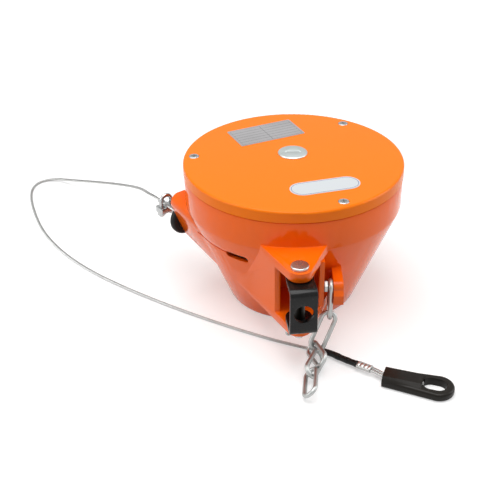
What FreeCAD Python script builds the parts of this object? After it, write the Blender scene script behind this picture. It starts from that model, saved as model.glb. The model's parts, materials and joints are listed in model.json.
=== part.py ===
import FreeCAD, Part
import os
from math import acos, asin, atan, cos, degrees, hypot, pi, radians, sin, sqrt, tan

# Spring balancer for hand tools, laid on the narrow end of its conical body.
# Millimetres, +Z up.  The origin is the middle of the flat base, on the body's axis.
# The suspension bracket points to -Y and the rope leaves on the -X side.

V = FreeCAD.Vector
UP = V(0, 0, 1)

# ---- body casting and cover ----
BODY_HEIGHT = 137.0          # base to the top of the cover
COVER_RADIUS = 100.0
COVER_BAND = 10.4            # height of the cover's side
COVER_PLATE = 4.0
COVER_EDGE_ROUND = 2.0
COVER_SKIRT = 5.0
SEAM_HEIGHT = 0.8
SEAM_DEPTH = 1.0
RIM_STEP = 0.5               # casting's rim inside the cover's edge
BEND_STEP = 0.3              # foot of the straight wall inside the rim
BEND_DROP = 38.6             # cover's top down to where the straight wall turns into the cone
CONE_TAPER = 0.405           # radius gained per millimetre of height
WALL = 4.5
FLOOR = 5.0
BASE_ROUND = 6.0
BEND_ROUND = 8.0
SPIGOT_HEIGHT = 3.0          # rib under the cover that centres it in the casting
SPIGOT_THICK = 2.0
SLIP = 0.2                   # clearance of parts that only locate each other

# ---- cover screws ----
SCREW_EDGE = 9.5             # cover's edge to the screws
SCREW_ANGLES = (-64.7, 55.3, 175.3)
SCREW_SHANK = 2.45
SCREW_HOLE = 2.5
SCREW_CLEARANCE_HOLE = 2.75
SCREW_HEAD = 4.7
SCREW_HEAD_HEIGHT = 2.6
SCREW_RECESS = 2.2
SCREW_LENGTH = 16.0
SCREW_BOSS = 6.5
SCREW_BOSS_HEIGHT = 26.0
CROSS_WIDTH = 1.1
CROSS_LENGTH = 5.2
CROSS_DEPTH = 1.4
SCREW_HEAD_ROUND = 0.8

# ---- plate and label on the cover ----
RATING_LENGTH = 66.0
RATING_WIDTH = 35.0
RATING_THICK = 0.4
RATING_CORNER = 1.5
RATING_EDGE = 39.9           # cover's edge to the plate's middle
RATING_BEARING = 113.1
RATING_TURN = 24.3
LABEL_LENGTH = 63.0
LABEL_WIDTH = 23.0
LABEL_THICK = 0.25
LABEL_EDGE = 40.45
LABEL_BEARING = -65.1
LABEL_TURN = 14.9

# ---- rope outlet nose, on the -X side ----
ROPE_RADIUS = 1.5
OUTLET_BEARING = 126.0       # direction in which the rope leaves, degrees from +X
NOSE_SET_IN = 0.4            # nose wall behind the body's tangent plane
NOSE_TURN = 2.8              # the wall closes in on the rope towards the end face, degrees
NOSE_END = 64.0              # end face, measured along the rope
NOSE_SLOPE = 0.24
NOSE_TOP_Z = 87.7            # top plane's height abreast of the body's axis
NOSE_BOTTOM_Z = 38.5
NOSE_TOP_ROUND = 9.0
NOSE_BOTTOM_ROUND = 6.0
OUTLET_EDGE = 12.2           # body's side to the rope line, at the rope's height
OUTLET_Z = 70.0
SLIT_Z = 80.3
SLIT_HEIGHT = 1.5
SLIT_DEPTH = 2.6
SLIT_FROM = 201.0            # bearing of its rear end
SLIT_END_GAP = 3.5           # it stops this many degrees short of the window's middle
WINDOW_ANGLE = 235.2
WINDOW_Z = 79.3
WINDOW_LENGTH = 23.5
WINDOW_HEIGHT = 7.0

# ---- suspension bracket ----
PIN_REACH = 30.5             # pin's axis beyond the cover's edge
PIN_RADIUS = 4.0
PIN_HEAD = 7.7
PIN_HEAD_HEIGHT = 2.8
PIN_HOLE_CLEARANCE = 0.1
EAR_TIP = 10.5
EAR_LEFT_ANGLE = 28.5
EAR_RIGHT_ANGLE = 21.5
EAR_THICK = 8.3
UPPER_EAR_TOP = 103.0
LOWER_EAR_BOTTOM = 41.0
WEB_THICK = 4.2
LEFT_WEB_BACK = 15.0         # webs start this far behind the pin's axis
RIGHT_WEB_BACK = 21.0
RIGHT_WEB_X = 18.0
BRACKET_DEPTH = 85.5         # pin's axis to the bracket's hidden root
SPLIT_PIN_RADIUS = 1.0
SPLIT_PIN_DROP = 3.4         # below the lower ear
PIN_TAIL = 6.4

# ---- suspension strap ----
STRAP_WIDTH = 22.8
STRAP_THICK = 4.0
STRAP_REACH = 23.0           # pin axis to the strap's front face
STRAP_GAP = 1.2              # free play above and below the strap
STRAP_BEND = 6.0
STRAP_HOLE = 8.25
STRAP_TURN = 7.0             # how far it is swung at rest, degrees
SLEEVE_RADIUS = 5.0
RUNNING = 0.05               # radial clearance of running fits
STRAP_PIN_CLEARANCE = 0.1

# ---- safety chain lug, bolt and links ----
LUG_X = 30.4
LUG_THICK = 8.4
LUG_BACK = 27.5              # bolt's axis behind the pin's axis
LUG_Z = 66.0
LUG_NOSE = 6.5               # radius of the boss about the bolt
LUG_FRONT = 10.0             # bolt's axis to the front face
LUG_FACE_TOP = 4.0           # front face's edges below the bolt's axis
LUG_FACE_BOTTOM = 12.7
LUG_SLOPE = 0.224            # the underside falls this much per millimetre towards the body
CHAIN_BOLT_RADIUS = 2.5
CHAIN_BOLT_HEAD = 4.6
CHAIN_BOLT_HEAD_THICK = 3.0
CHAIN_BOLT_DEPTH = 7.0
LINK_WIRE = 2.0              # wire radius
LINK_PITCH = 32.0            # inside length
LINK_INSIDE = 8.0            # inside width
LINK_PLAY = 0.35

# ---- axle, drum and spring ----
AXLE_Y = 11.0                # the drum axis lies off the body's axis
AXLE_RADIUS = 8.0
AXLE_DROP = 8.0              # cover's top to the axle's end
AXLE_END_PLAY = 0.3
AXLE_BOSS = 14.0
BASE_BOSS_TOP = 13.0
COVER_BUSH_LENGTH = 12.0
BUSH_RECESS = 2.0            # bore above the cover bush's inner end
BUSH_WALL = 2.5
BUSH_LIP = 2.5               # flange beyond the bush wall
BUSH_LIP_THICK = 1.5
CAP_RADIUS = 13.5
CAP_HEIGHT = 1.4
CAP_SPIGOT = 9.0
DRUM_LOW = 44.0              # lowest rope turn
DRUM_HEADROOM = 46.5         # cover's top down to the highest rope turn, at least
DRUM_PITCH = 4.6
DRUM_ROOM = 17.7             # body's side to the groove bottom where the drum comes nearest
DRUM_SHELL = 4.0
DRUM_WEB = 4.0
DRUM_FLANGE = 5.0            # flange height above the rope's seat
DRUM_HUB = 15.0
SPRING_CASE_WALL = 6.0       # groove bottom to the spring's chamber
SPRING_STRIP = 1.2
SPRING_WIDTH = 32.0
SPRING_TURNS = 6
SPRING_HUB_RADIUS = 13.0
DRUM_COVER_THICK = 3.0
DRUM_COVER_HUB = 5.0
DRUM_BUSH_LENGTH = 10.0
DRUM_SCREWS = 6
DRUM_SCREW_RADIUS = 1.5
DRUM_SCREW_LENGTH = 2.6      # screw's grip in the drum
DRUM_SCREW_HEAD = 2.8
DRUM_SCREW_HEAD_HEIGHT = 1.8
SPRING_REST = 8.0            # spring's lower edge above the drum's floor line
WHEEL_HUB_WALL = 5.0
WHEEL_HUB_RISE = 8.0

# ---- worm adjuster ----
WHEEL_TEETH = 36
GEAR_MODULE = 1.25
WHEEL_WIDTH = 8.0
WHEEL_GAP = 0.5              # wheel above the bush flange
WORM_PITCH_RADIUS = 7.0
WORM_CORE = 5.2
WORM_SHAFT = 4.0
WORM_TURNS = 5
WORM_BACKLASH = 0.35
WORM_END_PLAY = 0.3
WORM_BLOCK_LENGTH = 8.0      # inner bearing block
WORM_BLOCK_WALL = 5.0
WORM_BLOCK_GAP = 2.0         # worm's end to the block
GLAND_WALL = 4.5
GLAND_FOOT = 6.0             # thickness of the rib under the gland
GLAND_PROUD = 6.0            # worm gland beyond the casting's side
WORM_COLLAR_STEP = 1.5
WORM_COLLAR_LENGTH = 3.5
WORM_KEY = 2.9               # corner radius of the hexagon socket
WORM_KEY_DEPTH = 4.5

# ---- rope end fittings ----
BUFFER_RADIUS = 15.5
BUFFER_LENGTH = 6.5
BUFFER_ROUND = 2.5
BUSH_FLANGE = 9.0
BUSH_SPIGOT = 6.0
BUSH_FLANGE_THICK = 2.0
LEAD_CORNER = 12.0           # the rope turns this far inside the outlet
LEAD_BEND = 0.2              # share of the shorter run that the turn takes
LEAD_GAP = 0.5               # rope beside the drum clears the turning coils
CLIP_START = 97.0            # rope stop clip, measured along the rope
CLIP_LENGTH = 11.0
CLIP_LEG = 2.0
CLIP_SPACING = 5.6           # half the spacing of the legs
CLIP_TAIL = 11.0             # legs end this far below the rope
CLIP_CROWN = 4.5             # height of the bend's centre above the rope
SADDLE_TOP = 1.0             # saddle's faces below the rope's axis
SADDLE_BOTTOM = 6.5
SADDLE_END = 3.6             # saddle beyond the legs' axes
SADDLE_ROUND = 2.0
CLIP_NUT_FLATS = 7.0
CLIP_NUT_THICK = 3.0
COLLAR_RADIUS = 2.6          # crimped collar on the rope behind the clip
COLLAR_LENGTH = 5.5
COLLAR_GAP = 0.3
COLLAR_EDGE = 0.5
EYE_LENGTH = 60.0
EYE_BODY_LENGTH = 33.5
EYE_BODY_WIDTH = 19.0
EYE_BODY_HEIGHT = 10.5
EYE_BODY_CHAMFER = 3.0
EYE_RING_RADIUS = 13.8
EYE_RING_ROUND = 2.5
EYE_HOLE_RADIUS = 7.5
EYE_HOLE_STRETCH = 5.5
EYE_THICK = 7.5
EYE_TURN_SHOWS = 1.2         # rope's turn shows this far inside the hole
SHRINK_RADIUS = 2.9
FERRULE_WIDTH = 8.4
FERRULE_HEIGHT = 5.4
STRAND_GAP = 0.1
STRAND_ROOM = 0.9            # free space about the strands inside the eye

# Route of the free rope, from the stop clip down to the floor, round in one
# loose bend and forward to the shrink sleeve.
ROPE_ROUTE = [
    (-124.56, 42.99, 70.0), (-131.61, 52.7, 70.0), (-142.0, 70.0, 66.3),
    (-152.5, 101.5, 54.8), (-174.0, 142.0, 37.5), (-206.0, 184.0, 19.0),
    (-246.0, 215.5, 6.0), (-269.0, 227.0, 2.2), (-285.0, 220.5, 1.6),
    (-290.0, 204.0, 1.6), (-287.0, 181.0, 1.6), (-279.0, 153.0, 1.6),
    (-262.0, 108.0, 1.6), (-236.0, 66.0, 1.6), (-203.0, 29.0, 1.6),
    (-163.0, -4.0, 1.6), (-117.0, -36.5, 1.6), (-70.0, -65.5, 1.6),
    (-28.0, -88.5, 1.6), (-5.0, -98.9, 1.6), (12.5, -106.2, 1.6),
    (21.4, -110.9, 2.9),
]
SHRINK_ROUTE = [(21.4, -110.9, 2.9), (28.4, -114.6, 3.92), (39.4, -124.35, 4.0), (51.1, -132.85, 4.7)]
FERRULE_START = (51.3, -133.0, 4.7)
FERRULE_END = (62.2, -140.9, 5.35)
EYE_START = (71.5, -150.0, 5.6)
EYE_BEARING = -19.5

# Chain links after the first: middle, bearing, pitch and roll in degrees.
LINK_PLACES = [
    ((22.34, -109.15, 23.53), -146.2, -62.3, 130.9),
    ((16.09, -124.79, 10.29), -76.2, 14.1, 56.9),
    ((14.08, -135.66, 8.33), -109.0, 7.8, -51.4),
    ((8.77, -159.45, 7.44), -95.6, 5.2, 43.3),
]

# ---- derived sizes ----
RIM_Z = BODY_HEIGHT - COVER_BAND
RIM_RADIUS = COVER_RADIUS - RIM_STEP
BEND_RADIUS = RIM_RADIUS - BEND_STEP
BEND_Z = BODY_HEIGHT - BEND_DROP
SCREW_CIRCLE = COVER_RADIUS - SCREW_EDGE
AXLE_TOP = BODY_HEIGHT - AXLE_DROP
COVER_BUSH_LOW = AXLE_TOP - COVER_BUSH_LENGTH
PIN_Y = -(COVER_RADIUS + PIN_REACH)
BRACKET_ROOT_Y = PIN_Y + BRACKET_DEPTH
LUG_Y = PIN_Y + LUG_BACK
PLATE_UNDER = BODY_HEIGHT - COVER_PLATE
SIDE_WALL = WALL * hypot(1, CONE_TAPER)      # level thickness of the cone's wall
BASE_RADIUS = BEND_RADIUS - CONE_TAPER * BEND_Z
NOSE_BEARING = radians(OUTLET_BEARING - NOSE_TURN)
NOSE_DIR = V(cos(NOSE_BEARING), sin(NOSE_BEARING), 0)
NOSE_OUT = V(-sin(NOSE_BEARING), cos(NOSE_BEARING), 0)
ROPE_DIR = V(cos(radians(OUTLET_BEARING)), sin(radians(OUTLET_BEARING)), 0)
ROPE_OUT = V(-sin(radians(OUTLET_BEARING)), cos(radians(OUTLET_BEARING)), 0)
AXIS = V(0, AXLE_Y, 0)
EAR_GAP_LOW = LOWER_EAR_BOTTOM + EAR_THICK
EAR_GAP_HIGH = UPPER_EAR_TOP - EAR_THICK
PIN = V(0, PIN_Y, 0)
WHEEL_LOW = BASE_BOSS_TOP + BUSH_LIP_THICK + WHEEL_GAP


def body_radius(z):
    """Outside radius of the casting at height z."""
    if z >= BEND_Z:
        return BEND_RADIUS
    return BEND_RADIUS - CONE_TAPER * (BEND_Z - z)


def cylinder(radius, low, high, centre=V(0, 0, 0)):
    return Part.makeCylinder(radius, high - low, V(centre.x, centre.y, low))


def rod(radius, start, end):
    return Part.makeCylinder(radius, (end - start).Length, start, end - start)


def tube(outer, inner, low, high, centre=V(0, 0, 0)):
    return cylinder(outer, low, high, centre).cut(cylinder(inner, low - 1, high + 1, centre))


def turned(profile, centre=V(0, 0, 0)):
    """Solid turned about Z from (radius, height) points."""
    points = [V(centre.x + r, centre.y, z) for r, z in profile]
    face = Part.Face(Part.makePolygon(points + points[:1]))
    return face.revolve(V(centre.x, centre.y, 0), UP, 360)


def prism(outline, low, high):
    points = [V(x, y, low) for x, y in outline]
    face = Part.Face(Part.makePolygon(points + points[:1]))
    return face.extrude(V(0, 0, high - low))


def place(shape, turn_axis, angle, move=V(0, 0, 0)):
    shape = shape.copy()
    shape.rotate(V(0, 0, 0), turn_axis, angle)
    shape.translate(move)
    return shape


def fuse_all(shapes):
    whole = shapes[0]
    if len(shapes) > 1:
        whole = whole.fuse(shapes[1:])
    return whole.removeSplitter()


def round_edges(shape, radius, wanted):
    edges = [e for e in shape.Edges if wanted(e)]
    return shape.makeFillet(radius, edges)


def save(name, shape):
    shape.exportStep("parts/" + name + ".step")


# ---- casting ----
def body_solid(inset):
    """The casting's outer form, or with inset its cavity."""
    side = inset * hypot(1, CONE_TAPER)
    low = FLOOR if inset else 0
    top = RIM_Z + (1 if inset else 0)
    bend_z = BEND_Z - (side - inset) / CONE_TAPER
    profile = [(0, low), (body_radius(low) - side, low), (BEND_RADIUS - inset, bend_z)]
    if inset:
        profile += [(RIM_RADIUS - inset, top)]
    else:
        seam = RIM_Z - SEAM_HEIGHT
        profile += [(RIM_RADIUS, seam), (RIM_RADIUS - SEAM_DEPTH, seam), (RIM_RADIUS - SEAM_DEPTH, top)]
    solid = turned(profile + [(0, top)])
    solid = round_edges(solid, BASE_ROUND - inset, lambda e: is_ring_at(e, low, body_radius(low) - side))
    solid = round_edges(solid, BEND_ROUND, lambda e: is_ring_at(e, bend_z, BEND_RADIUS - inset))
    return place(solid, UP, PLAIN_BEARING)


def is_ring_at(edge, z, radius):
    curve = edge.Curve
    if not isinstance(curve, Part.Circle):
        return False
    return abs(curve.Center.z - z) < 0.05 and abs(curve.Radius - radius) < 0.05


PLAIN_BEARING = 75.0         # the turned form starts here, where nothing joins the side


def nose_solid(inset):
    """Rope duct along the outlet direction; its wall slopes like the cone's side."""
    side = inset * hypot(1, CONE_TAPER)
    end = NOSE_END - inset
    wall_low = BASE_RADIUS - NOSE_SET_IN - side
    wall_high = wall_low + CONE_TAPER * BODY_HEIGHT
    inner = BASE_RADIUS * 0.6
    outline = [(inner, 0), (wall_low, 0), (wall_high, BODY_HEIGHT), (inner, BODY_HEIGHT)]
    points = [NOSE_OUT * r + UP * z for r, z in outline]
    duct = Part.Face(Part.makePolygon(points + points[:1])).extrude(NOSE_DIR * NOSE_END * 1.5)
    low, high = NOSE_BOTTOM_Z + inset, NOSE_TOP_Z - inset
    rise = NOSE_SLOPE * end
    level = [(0, low), (end, low + rise), (end, high + rise), (0, high)]
    points = [ROPE_DIR * s + UP * z for s, z in level]
    duct = duct.common(Part.Face(Part.makePolygon(points + points[:1])).extrude(ROPE_OUT * COVER_RADIUS * 2))

    def outer_edge(edge, upper):
        mid = edge.CenterOfMass
        wall = wall_low + CONE_TAPER * mid.z
        lengthwise = abs(edge.tangentAt(edge.FirstParameter).dot(ROPE_DIR)) > 0.9
        is_upper = mid.z > OUTLET_Z
        return lengthwise and is_upper == upper and abs(mid.dot(NOSE_OUT) - wall) < 0.1

    duct = round_edges(duct, NOSE_TOP_ROUND - inset, lambda e: outer_edge(e, True))
    return round_edges(duct, NOSE_BOTTOM_ROUND - inset, lambda e: outer_edge(e, False))


def ear_outline():
    """Plan of a bracket ear: two straight sides run out to a round tip about the pin."""
    left, right = radians(EAR_LEFT_ANGLE), radians(EAR_RIGHT_ANGLE)
    left_tip = PIN + V(-cos(left), -sin(left), 0) * EAR_TIP
    right_tip = PIN + V(cos(right), -sin(right), 0) * EAR_TIP
    left_root = left_tip + V(-sin(left), cos(left), 0) * ((BRACKET_ROOT_Y - left_tip.y) / cos(left))
    right_root = right_tip + V(sin(right), cos(right), 0) * ((BRACKET_ROOT_Y - right_tip.y) / cos(right))
    tip = Part.Arc(right_tip, PIN + V(0, -EAR_TIP, 0), left_tip).toShape()
    edges = [
        Part.makeLine(left_tip, left_root), Part.makeLine(left_root, right_root),
        Part.makeLine(right_root, right_tip), tip,
    ]
    return Part.Face(Part.Wire(Part.__sortEdges__(edges)))


def ear(low, high):
    plate = ear_outline()
    plate.translate(V(0, 0, low))
    return plate.extrude(V(0, 0, high - low))


def bracket():
    upper = ear(EAR_GAP_HIGH, UPPER_EAR_TOP)
    lower = ear(LOWER_EAR_BOTTOM, EAR_GAP_LOW)
    left = radians(EAR_LEFT_ANGLE)
    inward = V(cos(left), sin(left), 0)
    whole = ear(EAR_GAP_LOW, EAR_GAP_HIGH)
    cut = whole.copy()
    cut.translate(inward * WEB_THICK)
    left_front = PIN_Y + LEFT_WEB_BACK
    keep = prism([(0, left_front), (0, 0), (-COVER_RADIUS, 0), (-COVER_RADIUS, left_front)], 0, BODY_HEIGHT)
    left_web = whole.cut(cut).common(keep)
    corner = V(RIGHT_WEB_X, PIN_Y + RIGHT_WEB_BACK, EAR_GAP_LOW)
    right_web = Part.makeBox(WEB_THICK, BRACKET_ROOT_Y - corner.y, EAR_GAP_HIGH - EAR_GAP_LOW, corner)
    return [upper, lower, left_web, right_web]


def chain_lug():
    """Upright plate with a round boss about the bolt and a short flat front face."""
    face, top = LUG_Y - LUG_FRONT, LUG_Z + LUG_NOSE
    low = LUG_Z - LUG_FACE_BOTTOM
    root_low = low - LUG_SLOPE * (BRACKET_ROOT_Y - face)
    side = [(BRACKET_ROOT_Y, top), (LUG_Y, top), (face, LUG_Z - LUG_FACE_TOP), (face, low)]
    points = [V(LUG_X, y, z) for y, z in side + [(BRACKET_ROOT_Y, root_low)]]
    plate = Part.Face(Part.makePolygon(points + points[:1])).extrude(V(LUG_THICK, 0, 0))
    boss = rod(LUG_NOSE, V(LUG_X, LUG_Y, LUG_Z), V(LUG_X + LUG_THICK, LUG_Y, LUG_Z))
    return fuse_all([plate, boss])


def screw_places():
    return [V(cos(radians(a)), sin(radians(a)), 0) * SCREW_CIRCLE for a in SCREW_ANGLES]


def slit_and_window():
    """The narrow slit where the nose's top runs out and the longer window at its front end."""
    reach = COVER_RADIUS * 1.2
    skin = cylinder(reach, SLIT_Z, SLIT_Z + SLIT_HEIGHT).cut(body_solid(SLIT_DEPTH))
    first, last = radians(SLIT_FROM), radians(WINDOW_ANGLE - SLIT_END_GAP)
    ends = [(2 * reach * cos(a), 2 * reach * sin(a)) for a in (first, last)]
    slit = skin.common(prism([(0, 0)] + ends, 0, BODY_HEIGHT))
    half = (WINDOW_LENGTH - WINDOW_HEIGHT) / 2
    r = WINDOW_HEIGHT / 2
    inner = COVER_RADIUS * 0.7
    depth = reach - inner
    ends = [Part.makeCylinder(r, depth, V(inner, s * half, 0), V(1, 0, 0)) for s in (-1, 1)]
    middle = Part.makeBox(depth, 2 * half, WINDOW_HEIGHT, V(inner, -half, -r))
    window = fuse_all([middle] + ends)
    window.rotate(V(0, 0, 0), UP, WINDOW_ANGLE)
    window.translate(V(0, 0, WINDOW_Z))
    return slit, window


def outlet_point(along):
    """Point on the rope's line as it leaves the nose."""
    aside = body_radius(OUTLET_Z) - OUTLET_EDGE
    return ROPE_OUT * aside + ROPE_DIR * along + UP * OUTLET_Z


def gear_centre():
    return AXLE_Y + GEAR_MODULE * WHEEL_TEETH / 2 + WORM_PITCH_RADIUS


def worm_axis():
    return V(0, gear_centre(), WHEEL_LOW + WHEEL_WIDTH / 2)


def gland_mouth():
    """X of the gland's outer face."""
    centre = worm_axis()
    return sqrt(body_radius(centre.z) ** 2 - centre.y ** 2) + GLAND_PROUD


def housing():
    solid = body_solid(0).fuse([nose_solid(0), chain_lug()] + bracket())
    solid = solid.cut(body_solid(WALL)).cut(nose_solid(WALL))
    inside = [cylinder(AXLE_BOSS, FLOOR - 1, BASE_BOSS_TOP, AXIS)]
    shell_inside = body_solid(WALL * 0.5)
    for spot in screw_places():
        inside.append(cylinder(SCREW_BOSS, RIM_Z - SCREW_BOSS_HEIGHT, RIM_Z, spot).common(shell_inside))
    centre = worm_axis()
    bearing_x = WORM_LENGTH / 2 + WORM_BLOCK_GAP
    wide = WORM_SHAFT + WORM_BLOCK_WALL
    corner = V(-bearing_x - WORM_BLOCK_LENGTH, centre.y - wide, FLOOR - 1)
    block = Part.makeBox(WORM_BLOCK_LENGTH, 2 * wide, centre.z + wide - corner.z, corner)
    gland_end = V(gland_mouth(), centre.y, centre.z)
    gland = rod(WORM_SHAFT + GLAND_WALL, V(bearing_x, centre.y, centre.z), gland_end)
    corner = V(bearing_x, centre.y - GLAND_FOOT / 2, FLOOR - 1)
    foot = Part.makeBox(gland_end.x - bearing_x, GLAND_FOOT, centre.z - corner.z, corner)
    inside += [block.common(shell_inside), gland, foot.common(shell_inside)]
    solid = solid.fuse(inside)
    cuts = [cylinder(AXLE_RADIUS + BUSH_WALL, FLOOR, BASE_BOSS_TOP + 1, AXIS)]
    for spot in screw_places():
        cuts.append(cylinder(SCREW_HOLE, RIM_Z - SCREW_LENGTH, RIM_Z + 1, spot))
    cuts.append(cylinder(PIN_RADIUS + PIN_HOLE_CLEARANCE, 0, BODY_HEIGHT, PIN))
    bore_start = V(-bearing_x - WORM_BLOCK_LENGTH - 1, centre.y, centre.z)
    cuts.append(rod(WORM_SHAFT + RUNNING, bore_start, gland_end + V(1, 0, 0)))
    cuts.append(rod(CHAIN_BOLT_RADIUS + RUNNING, V(LUG_X - 1, LUG_Y, LUG_Z), V(LUG_X + CHAIN_BOLT_DEPTH, LUG_Y, LUG_Z)))
    cuts.append(rod(BUSH_SPIGOT, outlet_point(NOSE_END - 15), outlet_point(NOSE_END + 5)))
    cuts += slit_and_window()
    return solid.cut(cuts)


WORM_LENGTH = (WORM_TURNS + 1) * pi * GEAR_MODULE


# ---- cover ----
def cover():
    skirt_inner = COVER_RADIUS - COVER_SKIRT
    profile = [(0, PLATE_UNDER), (skirt_inner, PLATE_UNDER), (skirt_inner, RIM_Z), (COVER_RADIUS, RIM_Z)]
    profile += [(COVER_RADIUS, BODY_HEIGHT), (0, BODY_HEIGHT)]
    solid = turned(profile)
    solid = round_edges(solid, COVER_EDGE_ROUND, lambda e: is_ring_at(e, BODY_HEIGHT, COVER_RADIUS))
    rib_outer = RIM_RADIUS - WALL - SLIP
    rib = tube(rib_outer, rib_outer - SPIGOT_THICK, RIM_Z - SPIGOT_HEIGHT, PLATE_UNDER)
    rib = rib.cut([cylinder(SCREW_BOSS + 1, 0, RIM_Z + 1, spot) for spot in screw_places()])
    pads = [cylinder(SCREW_BOSS, RIM_Z, PLATE_UNDER + 1, spot) for spot in screw_places()]
    boss = cylinder(AXLE_BOSS, COVER_BUSH_LOW, PLATE_UNDER + 1, AXIS)
    solid = fuse_all([solid, rib, boss] + pads)
    cuts = [cylinder(AXLE_RADIUS + BUSH_WALL, COVER_BUSH_LOW - 1, AXLE_TOP + 1, AXIS)]
    cuts.append(cylinder(CAP_SPIGOT + SLIP, AXLE_TOP, BODY_HEIGHT + 1, AXIS))
    for spot in screw_places():
        cuts.append(cylinder(SCREW_CLEARANCE_HOLE, RIM_Z - 1, BODY_HEIGHT + 1, spot))
        cuts.append(cylinder(SCREW_HEAD + SLIP, BODY_HEIGHT - SCREW_RECESS, BODY_HEIGHT + 1, spot))
    return solid.cut(cuts)


def cross_slot(top):
    corner = V(-CROSS_LENGTH / 2, -CROSS_WIDTH / 2, top - CROSS_DEPTH)
    bar = Part.makeBox(CROSS_LENGTH, CROSS_WIDTH, CROSS_DEPTH, corner)
    return bar.fuse(place(bar, UP, 90))


def cover_screws():
    screws = []
    under_head = BODY_HEIGHT - SCREW_RECESS
    top = under_head + SCREW_HEAD_HEIGHT
    for spot in screw_places():
        head = cylinder(SCREW_HEAD, under_head, top)
        head = round_edges(head, SCREW_HEAD_ROUND, lambda e: is_ring_at(e, top, SCREW_HEAD))
        shank = cylinder(SCREW_SHANK, RIM_Z - SCREW_LENGTH + 1.5, under_head)
        screw = head.fuse(shank).removeSplitter().cut(cross_slot(top))
        screw.translate(spot)
        screws.append(screw)
    return Part.makeCompound(screws)


def axle_cap():
    top = BODY_HEIGHT + CAP_HEIGHT
    profile = [(0, PLATE_UNDER), (CAP_SPIGOT, PLATE_UNDER), (CAP_SPIGOT, BODY_HEIGHT)]
    profile += [(CAP_RADIUS, BODY_HEIGHT), (CAP_RADIUS, top - 0.6), (CAP_RADIUS - 0.8, top), (0, top)]
    cap = turned(profile, AXIS)
    notches = [cylinder(0.9, top - 0.7, top + 1, AXIS + V(s * 6.5, 0, 0)) for s in (-1, 1)]
    return cap.cut(notches)


def on_cover(shape, edge, bearing, turn):
    """Lays a flat piece on the cover, its middle so far inside the cover's edge."""
    away = COVER_RADIUS - edge
    middle = V(away * cos(radians(bearing)), away * sin(radians(bearing)), BODY_HEIGHT)
    return place(shape, UP, turn, middle)


def rating_plate():
    corner = V(-RATING_LENGTH / 2, -RATING_WIDTH / 2, 0)
    plate = Part.makeBox(RATING_LENGTH, RATING_WIDTH, RATING_THICK, corner)
    upright = [e for e in plate.Edges if abs(e.tangentAt(0).z) > 0.9]
    plate = plate.makeFillet(RATING_CORNER, upright)
    return on_cover(plate, RATING_EDGE, RATING_BEARING, RATING_TURN)


def side_label():
    r = LABEL_WIDTH / 2
    half = LABEL_LENGTH / 2 - r
    ends = [cylinder(r, 0, LABEL_THICK, V(s * half, 0, 0)) for s in (-1, 1)]
    bar = Part.makeBox(2 * half, LABEL_WIDTH, LABEL_THICK, V(-half, -r, 0))
    return on_cover(fuse_all([bar] + ends), LABEL_EDGE, LABEL_BEARING, LABEL_TURN)


# ---- axle, drum and spring ----
def axle():
    shaft = cylinder(AXLE_RADIUS, FLOOR + AXLE_END_PLAY, AXLE_TOP, AXIS)
    return shaft.makeChamfer(0.8, [e for e in shaft.Edges if isinstance(e.Curve, Part.Circle)])


def flanged_bush(low, high, flange_low):
    outer = AXLE_RADIUS + BUSH_WALL
    flange = tube(outer + BUSH_LIP, AXLE_RADIUS + RUNNING, flange_low, flange_low + BUSH_LIP_THICK, AXIS)
    return tube(outer, AXLE_RADIUS + RUNNING, low, high, AXIS).fuse(flange).removeSplitter()


DRUM_TURNS = int((BODY_HEIGHT - DRUM_HEADROOM - DRUM_LOW) / DRUM_PITCH)
DRUM_HIGH = DRUM_LOW + DRUM_TURNS * DRUM_PITCH
DRUM_SMALL_RADIUS = body_radius(DRUM_LOW) - AXLE_Y - DRUM_ROOM
SPRING_CASE_RADIUS = DRUM_SMALL_RADIUS - SPRING_CASE_WALL


def drum_radius(z):
    """Radius of the groove bottom at height z."""
    return DRUM_SMALL_RADIUS + CONE_TAPER * (z - DRUM_LOW)


def turn_heights():
    return [DRUM_LOW + DRUM_PITCH * (i + 0.5) for i in range(DRUM_TURNS)]


def rope_drum():
    low, high = DRUM_LOW - DRUM_WEB, DRUM_HIGH + DRUM_WEB
    rope = 2 * ROPE_RADIUS
    small = drum_radius(DRUM_LOW)
    large = drum_radius(DRUM_HIGH)
    hub_in = AXLE_RADIUS + BUSH_WALL
    lip = small + rope + DRUM_FLANGE - 1
    profile = [(hub_in, low), (lip, low), (lip, DRUM_LOW - 1), (small + 0.8, DRUM_LOW)]
    profile += [(large + 0.8, DRUM_HIGH), (large + rope + DRUM_FLANGE, DRUM_HIGH + 1)]
    profile += [(large + rope + DRUM_FLANGE, high), (large - DRUM_SHELL, high)]
    profile += [(SPRING_CASE_RADIUS, DRUM_LOW + SPRING_WIDTH * 0.375)]
    hub_top = low + DRUM_BUSH_LENGTH
    profile += [(SPRING_CASE_RADIUS, DRUM_LOW), (DRUM_HUB, DRUM_LOW), (DRUM_HUB, hub_top), (hub_in, hub_top)]
    drum = turned(profile, AXIS)
    grooves = []
    for z in turn_heights():
        groove = Part.makeTorus(drum_radius(z) + ROPE_RADIUS, ROPE_RADIUS + 0.1, V(AXIS.x, AXIS.y, z))
        grooves.append(groove)
    holes = [cylinder(DRUM_SCREW_RADIUS, high - DRUM_SCREW_LENGTH, high + 1, spot) for spot in drum_screw_places()]
    return drum.cut(grooves + holes)


def drum_screw_places():
    """Middle of the drum's wide rim, outside the spring's chamber."""
    circle = drum_radius(DRUM_HIGH) + ROPE_RADIUS
    angles = [2 * pi * i / DRUM_SCREWS for i in range(DRUM_SCREWS)]
    return [AXIS + V(cos(a), sin(a), 0) * circle for a in angles]


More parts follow.
